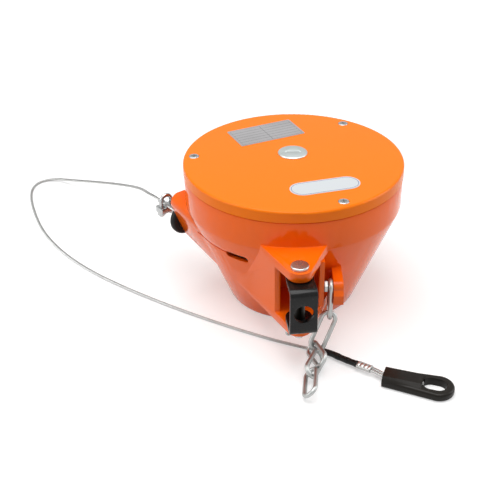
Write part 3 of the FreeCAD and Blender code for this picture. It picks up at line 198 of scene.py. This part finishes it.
def make_tone_group():
    """Slow change of tone over the surface, with faint handling marks."""
    group, source, sink = new_group(
        "tone_and_marks",
        [
            ("Color", "NodeSocketColor", (0.5, 0.5, 0.5, 1)),
            ("Mark Color", "NodeSocketColor", (0.5, 0.5, 0.5, 1)),
            ("Tone", "NodeSocketFloat", 0.1),
            ("Marks", "NodeSocketFloat", 0.1),
            ("Scale", "NodeSocketFloat", 30.0),
            ("Roughness", "NodeSocketFloat", 0.4),
            ("Roughness Change", "NodeSocketFloat", 0.1),
        ],
        [("Color", "NodeSocketColor"), ("Roughness", "NodeSocketFloat")],
    )
    place = group.nodes.new("ShaderNodeTexCoord").outputs["Object"]
    slow = noise_at(group, place, source.outputs["Scale"], 2)
    centred = math_node(group, "SUBTRACT", slow, 0.5)
    swing = math_node(group, "MULTIPLY", centred, source.outputs["Tone"])
    value = math_node(group, "ADD", swing, 1.0)
    shade = group.nodes.new("ShaderNodeHueSaturation")
    group.links.new(source.outputs["Color"], shade.inputs["Color"])
    group.links.new(value, shade.inputs["Value"])
    fast_scale = math_node(group, "MULTIPLY", source.outputs["Scale"], 9.0)
    stretched = group.nodes.new("ShaderNodeMapping")
    stretched.inputs["Scale"].default_value = (1.0, 0.25, 0.6)
    stretched.inputs["Rotation"].default_value = (0.3, 0.5, 0.8)
    group.links.new(place, stretched.inputs["Vector"])
    streaks = noise_at(group, stretched.outputs["Vector"], fast_scale, 5)
    ramp = group.nodes.new("ShaderNodeValToRGB")
    ramp.color_ramp.elements[0].position = 0.62
    ramp.color_ramp.elements[1].position = 0.72
    group.links.new(streaks, ramp.inputs["Fac"])
    amount = math_node(group, "MULTIPLY", ramp.outputs["Color"], source.outputs["Marks"])
    blend = group.nodes.new("ShaderNodeMix")
    blend.data_type = "RGBA"
    group.links.new(amount, blend.inputs["Factor"])
    group.links.new(shade.outputs["Color"], blend.inputs["A"])
    group.links.new(source.outputs["Mark Color"], blend.inputs["B"])
    group.links.new(blend.outputs["Result"], sink.inputs["Color"])
    rough = math_node(group, "MULTIPLY", centred, source.outputs["Roughness Change"])
    total = math_node(group, "ADD", rough, source.outputs["Roughness"])
    group.links.new(total, sink.inputs["Roughness"])
    return group


GRAIN = make_grain_group()
TONE = make_tone_group()


def finish(name, color, roughness, metallic=0.0, mark=None, tone=0.08, marks=0.05, scale=30.0,
           rough_change=0.1, grain=(500.0, 0.00002), coat=0.0, coat_roughness=0.1, gloss=0.5):
    material = bpy.data.materials.new(name)
    material.use_nodes = True
    tree = material.node_tree
    shader = tree.nodes["Principled BSDF"]
    shader.inputs["Metallic"].default_value = metallic
    shader.inputs["Specular IOR Level"].default_value = gloss
    shader.inputs["Coat Weight"].default_value = coat
    shader.inputs["Coat Roughness"].default_value = coat_roughness
    surface = tree.nodes.new("ShaderNodeGroup")
    surface.node_tree = TONE
    values = {
        "Color": (*color, 1), "Mark Color": (*(mark or color), 1), "Tone": tone,
        "Marks": marks, "Scale": scale, "Roughness": roughness, "Roughness Change": rough_change,
    }
    for label, value in values.items():
        surface.inputs[label].default_value = value
    tree.links.new(surface.outputs["Color"], shader.inputs["Base Color"])
    tree.links.new(surface.outputs["Roughness"], shader.inputs["Roughness"])
    relief = tree.nodes.new("ShaderNodeGroup")
    relief.node_tree = GRAIN
    relief.inputs["Scale"].default_value = grain[0]
    relief.inputs["Height"].default_value = grain[1]
    tree.links.new(relief.outputs["Normal"], shader.inputs["Normal"])
    return material


body_paint = finish("body_enamel", (0.92, 0.132, 0.002), 0.14, tone=0.05, marks=0.02,
                    mark=(0.7, 0.2, 0.05), scale=14, rough_change=0.06, grain=(900, 0.000006),
                    gloss=0.25)
# the cover: the body's orange made lighter and yellower, painted light standing in for the stronger
# light on the lid's top
cover_paint_lit = finish("cover_enamel_painted_light", (0.92, 0.190, 0.003), 0.24, tone=0.05, marks=0.03,
                     mark=(0.9, 0.25, 0.05), scale=18, rough_change=0.08, grain=(1100, 0.00001),
                     gloss=0.14)
zinc = finish("bright_zinc", (0.50, 0.51, 0.51), 0.27, 1.0, mark=(0.45, 0.44, 0.42), tone=0.15,
              marks=0.25, scale=60, rough_change=0.2, grain=(700, 0.00002))
plated = finish("plated_steel", (0.46, 0.47, 0.46), 0.42, 1.0, mark=(0.35, 0.34, 0.32), tone=0.2,
                marks=0.3, scale=80, rough_change=0.25, grain=(900, 0.00002))
wire_steel = finish("rope_wire", (0.50, 0.50, 0.49), 0.32, 1.0, mark=(0.3, 0.3, 0.29), tone=0.25,
                    marks=0.2, scale=120, rough_change=0.2, grain=(1800, 0.00003))
# the rope's core: near-black, painted shade that shows in the gaps between the strands
rope_core_painted_shade = finish("rope_core_painted_shade", (0.02, 0.02, 0.02), 0.7, tone=0.2, marks=0.0, scale=90,
                     gloss=0.1)
cap_metal = finish("cap_nickel", (0.58, 0.63, 0.62), 0.42, 1.0, mark=(0.5, 0.5, 0.48), tone=0.1,
                   marks=0.2, scale=60, rough_change=0.15, grain=(1500, 0.00001))
plate_metal = finish("plate_metal", (0.52, 0.51, 0.52), 0.38, 1.0, mark=(0.4, 0.4, 0.4), tone=0.12,
                     marks=0.2, scale=60, rough_change=0.12, grain=(2500, 0.000008))
label_white = finish("label_white", (0.56, 0.59, 0.61), 0.3, tone=0.02, marks=0.02,
                     mark=(0.7, 0.7, 0.7), scale=40, rough_change=0.05, grain=(1500, 0.000004),
                     coat=0.3)
label_ink = finish("label_ink", (0.02, 0.05, 0.22), 0.35, tone=0.05, marks=0.0, scale=40,
                   grain=(1500, 0.000004))
plate_ink = finish("plate_ink", (0.14, 0.14, 0.14), 0.45, tone=0.1, marks=0.0, scale=40,
                   grain=(1500, 0.000004))
black_steel = finish("black_steel", (0.005, 0.005, 0.005), 0.24, mark=(0.06, 0.06, 0.06), tone=0.3,
                     marks=0.35, scale=50, rough_change=0.2, grain=(1200, 0.00002), gloss=0.25)
black_moulded = finish("black_moulded", (0.007, 0.005, 0.003), 0.34, mark=(0.05, 0.045, 0.04),
                       tone=0.3, marks=0.3, scale=70, rough_change=0.2, grain=(1400, 0.00003),
                       gloss=0.22)
rubber = finish("buffer_rubber", (0.008, 0.008, 0.008), 0.5, mark=(0.03, 0.03, 0.03), tone=0.3,
                marks=0.3, scale=60, rough_change=0.15, grain=(1200, 0.00004), gloss=0.25)
shrink = finish("shrink_tube", (0.008, 0.008, 0.008), 0.3, mark=(0.03, 0.03, 0.03), tone=0.3,
                marks=0.2, scale=90, rough_change=0.2, grain=(600, 0.00008), gloss=0.25)
soft_alu = finish("pressed_aluminium", (0.46, 0.46, 0.45), 0.36, 1.0, mark=(0.5, 0.5, 0.5),
                  tone=0.15, marks=0.3, scale=90, rough_change=0.2, grain=(900, 0.00004))
cast_alu = finish("drum_casting", (0.60, 0.61, 0.62), 0.5, 1.0, mark=(0.4, 0.4, 0.4), tone=0.15,
                  marks=0.2, scale=40, rough_change=0.15, grain=(700, 0.00006))
bronze = finish("sintered_bronze", (0.55, 0.36, 0.16), 0.45, 1.0, mark=(0.35, 0.2, 0.09), tone=0.2,
                marks=0.3, scale=70, rough_change=0.15, grain=(1600, 0.00003))

CHAIN_LINKS = ["chain_link_%d" % number for number in range(1, 6)]
NODE_FINISHES = {
    body_paint: ["housing"],
    cover_paint_lit: ["cover"],
    zinc: ["cover_screws", "drum_screws", "suspension_pin", "stop_clip", "stop_saddle", "stop_nuts"],
    plated: ["axle", "spring_hub", "worm", "split_pin", "chain_bolt", *CHAIN_LINKS],
    wire_steel: ["rope", "rope_lead", "rope_loop", "rope_windings"],
    cap_metal: ["axle_cap"],
    plate_metal: ["rating_plate"],
    label_white: ["side_label"],
    black_steel: ["suspension_strap", "power_spring"],
    black_moulded: ["rope_eye", "pin_sleeve", "outlet_bush"],
    rubber: ["rope_buffer"],
    shrink: ["shrink_sleeve"],
    soft_alu: ["rope_ferrule", "rope_collar"],
    cast_alu: ["rope_drum", "drum_cover"],
    bronze: ["base_bush", "cover_bush", "drum_lower_bush", "drum_upper_bush", "worm_wheel"],
}
for material, names in NODE_FINISHES.items():
    for name in names:
        mesh = nodes[name].data
        mesh.materials.clear()
        mesh.materials.append(material)


# ---- rounded edges on the machined and cast pieces ----
def only(obj):
    """Makes this the one selected and active object."""
    bpy.ops.object.select_all(action="DESELECT")
    obj.select_set(True)
    bpy.context.view_layer.objects.active = obj


def rounded(name, body, width, segments=2):
    """A copy of a node with its sharp edges rounded, shown in its place."""
    obj = nodes[name].copy()
    obj.data = nodes[name].data.copy()
    obj.name = name + "_finished"
    bpy.context.scene.collection.objects.link(obj)
    only(obj)
    bpy.ops.object.mode_set(mode="EDIT")
    bpy.ops.mesh.select_all(action="SELECT")
    bpy.ops.mesh.remove_doubles(threshold=0.000002)
    bpy.ops.mesh.dissolve_limited(angle_limit=math.radians(0.5))
    bpy.ops.object.mode_set(mode="OBJECT")
    bevel = obj.modifiers.new("edge", "BEVEL")
    bevel.width = width
    bevel.segments = segments
    bevel.limit_method = "ANGLE"
    bevel.angle_limit = EDGE_ANGLE
    bpy.ops.object.modifier_apply(modifier="edge")
    bpy.ops.object.shade_smooth_by_angle(angle=SMOOTH_ANGLE)
    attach(obj, body)
    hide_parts(name)
    return obj


rounded("housing", "housing", CAST_EDGE)
rounded("suspension_strap", "strap", STRAP_EDGE, 3)
rounded("chain_bolt", "housing", BOLT_EDGE)
rounded("stop_nuts", "housing", BOLT_EDGE)
rounded("stop_saddle", "housing", SADDLE_EDGE)
rounded("axle_cap", "housing", CAP_EDGE)


# ---- print on the label and the plate ----
def lay_on(obj, name, turn):
    """Turns a flat piece and lays it on top of a node, with its place in its mesh."""
    corners = [Vector(corner) for corner in nodes[name].bound_box]
    low = Vector(map(min, zip(*corners)))
    high = Vector(map(max, zip(*corners)))
    obj.rotation_euler = (0, 0, turn)
    obj.location = ((low.x + high.x) / 2, (low.y + high.y) / 2, high.z)
    bpy.ops.object.transform_apply(location=True, rotation=True, scale=True)


def lift_print(obj, material):
    """Gives flat print its thickness and finish."""
    bpy.ops.object.mode_set(mode="EDIT")
    bpy.ops.mesh.select_all(action="SELECT")
    bpy.ops.mesh.extrude_region_move(TRANSFORM_OT_translate={"value": (0, 0, PRINT_RISE)})
    bpy.ops.mesh.select_all(action="SELECT")
    bpy.ops.mesh.normals_make_consistent(inside=False)
    bpy.ops.object.mode_set(mode="OBJECT")
    obj.data.materials.append(material)


def label_keyline():
    bpy.ops.mesh.primitive_plane_add(size=1)
    obj = bpy.context.object
    obj.name = "label_keyline"
    width = LABEL_SIZE[1] - 2 * KEYLINE_INSET
    obj.scale = (LABEL_SIZE[0] - 2 * KEYLINE_INSET, width, 1)
    bpy.ops.object.transform_apply(scale=True)
    bpy.ops.object.mode_set(mode="EDIT")
    bpy.ops.mesh.select_all(action="SELECT")
    bpy.ops.mesh.bevel(offset=width * 0.499, segments=20, affect="VERTICES")
    bpy.ops.mesh.inset(thickness=KEYLINE_WIDTH)
    bpy.ops.mesh.delete(type="FACE")
    bpy.ops.object.mode_set(mode="OBJECT")
    lift_print(obj, label_ink)
    lay_on(obj, "side_label", LABEL_TURN)
    return obj


def plate_rules():
    bpy.ops.mesh.primitive_grid_add(x_subdivisions=PLATE_COLUMNS, y_subdivisions=PLATE_ROWS, size=1)
    obj = bpy.context.object
    obj.name = "plate_rules"
    obj.scale = (PLATE_SIZE[0] - 2 * PLATE_MARGIN, PLATE_SIZE[1] - 2 * PLATE_MARGIN, 1)
    bpy.ops.object.transform_apply(scale=True)
    bpy.ops.object.mode_set(mode="EDIT")
    bpy.ops.mesh.select_all(action="SELECT")
    bpy.ops.mesh.inset(thickness=RULE_WIDTH, use_individual=True)
    bpy.ops.mesh.delete(type="FACE")
    bpy.ops.object.mode_set(mode="OBJECT")
    lift_print(obj, plate_ink)
    lay_on(obj, "rating_plate", PLATE_TURN)
    return obj


for piece, slot in ((label_keyline(), "label_film"), (plate_rules(), "plate_alu")):
    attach(piece, "housing")


# ---- pressed ferrule ----
def pressed_ferrule():
    """Oval sleeve with the marks of three press bites."""
    length = (FERRULE_END - FERRULE_START).length
    bpy.ops.mesh.primitive_cylinder_add(vertices=40, radius=1, depth=length)
    obj = bpy.context.object
    obj.name = "rope_ferrule_finished"
    obj.scale = (FERRULE_HALF[1], FERRULE_HALF[0], 1)
    bpy.ops.object.transform_apply(scale=True)
    bites = [length * share for share in FERRULE_BITES]
    for middle in bites:
        for height in (middle - BITE_REACH, middle, middle + BITE_REACH):
            bpy.ops.object.mode_set(mode="EDIT")
            bpy.ops.mesh.select_all(action="SELECT")
            bpy.ops.mesh.bisect(plane_co=(0, 0, height), plane_no=(0, 0, 1))
            bpy.ops.object.mode_set(mode="OBJECT")
    for vertex in obj.data.vertices:
        if min(abs(vertex.co.z - middle) for middle in bites) < BITE_REACH / 2:
            vertex.co.x *= BITE_SQUEEZE
    bevel = obj.modifiers.new("rim", "BEVEL")
    bevel.width = FERRULE_RIM
    bevel.segments = 3
    bevel.angle_limit = math.radians(60)
    bpy.ops.object.modifier_apply(modifier="rim")
    bpy.ops.object.shade_smooth_by_angle(angle=math.radians(35))
    along = FERRULE_END - FERRULE_START
    obj.rotation_euler = along.to_track_quat("Z", "X").to_euler()
    obj.location = (FERRULE_START + FERRULE_END) / 2
    bpy.ops.object.transform_apply(location=True, rotation=True, scale=True)
    obj.data.materials.append(soft_alu)
    return obj


# ---- rope ----
def nurbs_line(points, steps):
    """Points along the smooth spline whose control points are the route's."""
    curve = bpy.data.curves.new("route", "CURVE")
    curve.dimensions = "3D"
    curve.resolution_u = steps
    spline = curve.splines.new("NURBS")
    spline.points.add(len(points) - 1)
    for control, place in zip(spline.points, points):
        control.co = (*place, 1.0)
    spline.order_u = 3
    spline.use_endpoint_u = True
    obj = bpy.data.objects.new("route", curve)
    bpy.context.scene.collection.objects.link(obj)
    bpy.context.view_layer.update()
    mesh = bpy.data.meshes.new_from_object(obj)
    line = np.array([v.co[:] for v in mesh.vertices])
    bpy.data.objects.remove(obj)
    bpy.data.curves.remove(curve)
    bpy.data.meshes.remove(mesh)
    return line


def line_frames(line):
    """Arc length, tangent and two untwisting normals at each point of a line."""
    steps = np.linalg.norm(np.diff(line, axis=0), axis=1)
    length = np.concatenate([[0], np.cumsum(steps)])
    tangent = np.gradient(line, axis=0)
    tangent /= np.linalg.norm(tangent, axis=1)[:, None]
    side = np.cross(tangent[0], (0, 0, 1.0))
    if np.linalg.norm(side) < 0.1:
        side = np.cross(tangent[0], (1.0, 0, 0))
    sides = []
    for direction in tangent:
        side = side - direction * side.dot(direction)
        side = side / np.linalg.norm(side)
        sides.append(side)
    sides = np.array(sides)
    return length, tangent, sides, np.cross(tangent, sides)


def tube_mesh(line, radius, sides, first_vertex):
    """Rings, faces and surface coordinates of a closed tube about a line."""
    length, _, across, up = line_frames(line)
    angles = np.arange(sides) * 2 * math.pi / sides
    radii = np.broadcast_to(radius, (len(line),))
    rings = line[:, None] + radii[:, None, None] * (
        np.cos(angles)[None, :, None] * across[:, None] + np.sin(angles)[None, :, None] * up[:, None])
    faces, coordinates = [], []
    for i in range(len(line) - 1):
        for j in range(sides):
            k = (j + 1) % sides
            a, b = first_vertex + i * sides, first_vertex + (i + 1) * sides
            faces.append((a + j, a + k, b + k, b + j))
            u, w = length[i], length[i + 1]
            coordinates += [(u, j / sides), (u, (j + 1) / sides), (w, (j + 1) / sides), (w, j / sides)]
    last = first_vertex + (len(line) - 1) * sides
    faces.append(tuple(range(first_vertex + sides - 1, first_vertex - 1, -1)))
    faces.append(tuple(range(last, last + sides)))
    coordinates += [(0.0, 0.0)] * (2 * sides)
    return rings.reshape(-1, 3), faces, coordinates


def laid_rope(name, line):
    """Wire rope: a near-black core, painted shade in the gaps, and strands wound round it along the
    line.
    """
    length, _, across, up = line_frames(line)
    parts = [(line, CORE_RADIUS)]
    for k in range(STRANDS):
        angle = 2 * math.pi * (length / STRAND_LAY + k / STRANDS)
        centre = line + STRAND_CIRCLE * (np.cos(angle)[:, None] * across + np.sin(angle)[:, None] * up)
        parts.append((centre, STRAND_RADIUS))
    vertices, faces, coordinates, finishes, start = [], [], [], [], 0
    for centre, radius in parts:
        ring, some_faces, some_coordinates = tube_mesh(centre, radius, STRAND_SIDES, start)
        vertices.append(ring)
        finishes += [int(radius == CORE_RADIUS)] * len(some_faces)
        faces += some_faces
        coordinates += some_coordinates
        start += len(ring)
    mesh = bpy.data.meshes.new(name)
    mesh.from_pydata(np.concatenate(vertices).tolist(), [], faces)
    layer = mesh.uv_layers.new(name="along")
    layer.data.foreach_set("uv", np.array(coordinates, dtype=np.float32).ravel())
    mesh.materials.append(wire_steel)
    mesh.materials.append(rope_core_painted_shade)
    mesh.polygons.foreach_set("material_index", finishes)
    mesh.shade_smooth()
    obj = bpy.data.objects.new(name, mesh)
    bpy.context.scene.collection.objects.link(obj)
    return obj


def loop_route():
    """Out along one strand, round the turn in the eye and back along the other."""
    into = Vector((math.cos(EYE_BEARING), math.sin(EYE_BEARING), 0))
    aside = Vector((into.y, -into.x, 0)) * STRAND_SPACING
    along = (FERRULE_END - FERRULE_START).normalized()
    across = along.cross(Vector((0, 0, 1))).normalized() * STRAND_SPACING
    middle = EYE_START + into * LOOP_TURN
    tip = middle + into * STRAND_SPACING
    out = [FERRULE_END + across, FERRULE_END + along * LOOP_STRAIGHT + across, EYE_START + aside]
    back = [FERRULE_END - across, FERRULE_END + along * LOOP_STRAIGHT - across, EYE_START - aside]
    round_turn = [middle + aside, tip + aside, tip - aside, middle - aside]
    return [tuple(point) for point in out + round_turn + back[::-1]]


def swelling_tube(name, route, radius, swell, material):
    """Shrunk sleeve: a tube whose wall follows what lies under it."""
    line = nurbs_line(route, SLEEVE_STEPS)
    length = line_frames(line)[0]
    share = length / length[-1]
    radii = radius * (1 + sum(rise * np.exp(-((share - at) / width) ** 2) for at, width, rise in swell))
    vertices, faces, _ = tube_mesh(line, radii, SLEEVE_SIDES, 0)
    mesh = bpy.data.meshes.new(name)
    mesh.from_pydata(vertices.tolist(), [], faces)
    mesh.materials.append(material)
    obj = bpy.data.objects.new(name, mesh)
    bpy.context.scene.collection.objects.link(obj)
    only(obj)
    bpy.ops.object.shade_smooth_by_angle(angle=math.radians(50))
    return obj


rope_line = nurbs_line(ROPE_ROUTE, ROPE_STEPS)
rope = laid_rope("wire_rope", rope_line)
sleeve = swelling_tube("shrink_sleeve_finished", SHRINK_ROUTE, SHRINK_RADIUS, SLEEVE_SWELL, shrink)
loop_line = nurbs_line(loop_route(), LOOP_STEPS)
loop = laid_rope("wire_rope_loop", loop_line)
ferrule = pressed_ferrule()
eye = rounded("rope_eye", "housing", CAST_EDGE, 3)
for piece, slot, node in ((rope, "rope_steel", "rope"), (sleeve, "shrink_black", "shrink_sleeve"),
                          (loop, "rope_steel", "rope_loop"), (ferrule, "ferrule_alu", "rope_ferrule")):
    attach(piece, "housing")
    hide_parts(node)
for piece, line, lay, fittings in ((rope, rope_line, "loose", [sleeve, ferrule]),
                                   (loop, loop_line, "taut", [eye])):
    cord_length = float(line_frames(line)[0][-1])
lead = laid_rope("wire_rope_lead", nurbs_line(LEAD_ROUTE, ROPE_STEPS))
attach(lead, "housing")
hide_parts("rope_lead")


# ---- studio ----
def floor_finish():
    material = bpy.data.materials.new("studio_floor")
    material.use_nodes = True
    tree = material.node_tree
    tree.nodes.clear()
    out = tree.nodes.new("ShaderNodeOutputMaterial")
    base = tree.nodes.new("ShaderNodeBsdfDiffuse")
    base.inputs["Color"].default_value = FLOOR_COLOR
    glow = tree.nodes.new("ShaderNodeEmission")
    ray = tree.nodes.new("ShaderNodeLightPath")
    seen = math_node(tree, "MAXIMUM", ray.outputs["Is Camera Ray"], ray.outputs["Is Glossy Ray"])
    place = tree.nodes.new("ShaderNodeTexCoord")
    away = tree.nodes.new("ShaderNodeVectorMath")
    away.operation = "LENGTH"
    tree.links.new(place.outputs["Object"], away.inputs[0])
    beyond = math_node(tree, "SUBTRACT", away.outputs["Value"], GLOW_REACH)
    past = math_node(tree, "MAXIMUM", beyond, 0.0)
    rising = math_node(tree, "ADD", math_node(tree, "MULTIPLY", past, GLOW_RISE), FLOOR_GLOW)
    level = math_node(tree, "MINIMUM", rising, 1.0)
    tree.links.new(math_node(tree, "MULTIPLY", seen, level), glow.inputs["Strength"])
    both = tree.nodes.new("ShaderNodeAddShader")
    tree.links.new(base.outputs[0], both.inputs[0])
    tree.links.new(glow.outputs[0], both.inputs[1])
    tree.links.new(both.outputs[0], out.inputs["Surface"])
    return material


bpy.ops.mesh.primitive_plane_add(size=FLOOR_SIZE, location=(0, 0, 0))
floor = bpy.context.object
floor.name = "studio_floor"
floor.data.materials.append(floor_finish())

world = bpy.data.worlds.new("studio")
bpy.context.scene.world = world
world.use_nodes = True
tree = world.node_tree
background = tree.nodes["Background"]
background.inputs["Color"].default_value = (1, 1, 1, 1)
ray = tree.nodes.new("ShaderNodeLightPath")
mirrored = math_node(tree, "MULTIPLY", ray.outputs["Is Glossy Ray"], MIRROR_LIGHT)
seen = math_node(tree, "MAXIMUM", ray.outputs["Is Camera Ray"], mirrored)
tree.links.new(math_node(tree, "MAXIMUM", seen, WORLD_LIGHT), background.inputs["Strength"])


def softbox(name, place, target, size, power):
    data = bpy.data.lights.new(name, "AREA")
    data.shape = "RECTANGLE"
    data.size, data.size_y = size
    data.energy = power
    lamp = bpy.data.objects.new(name, data)
    lamp.location = place
    lamp.rotation_euler = (Vector(target) - Vector(place)).to_track_quat("-Z", "Y").to_euler()
    bpy.context.scene.collection.objects.link(lamp)


for values in SOFTBOXES:
    softbox(*values)

# ---- camera ----
camera_data = bpy.data.cameras.new("camera")
camera_data.lens = CAMERA_LENS
camera_data.sensor_width = SENSOR_WIDTH
camera_data.clip_start = 0.05
camera = bpy.data.objects.new("camera", camera_data)
camera.matrix_world = (Matrix.Translation(CAMERA_PLACE) @ Matrix.Rotation(CAMERA_TILT, 4, "X")
                       @ Matrix.Rotation(CAMERA_ROLL, 4, "Z"))
bpy.context.scene.collection.objects.link(camera)
bpy.context.scene.camera = camera
bpy.context.scene.view_settings.view_transform = "Standard"
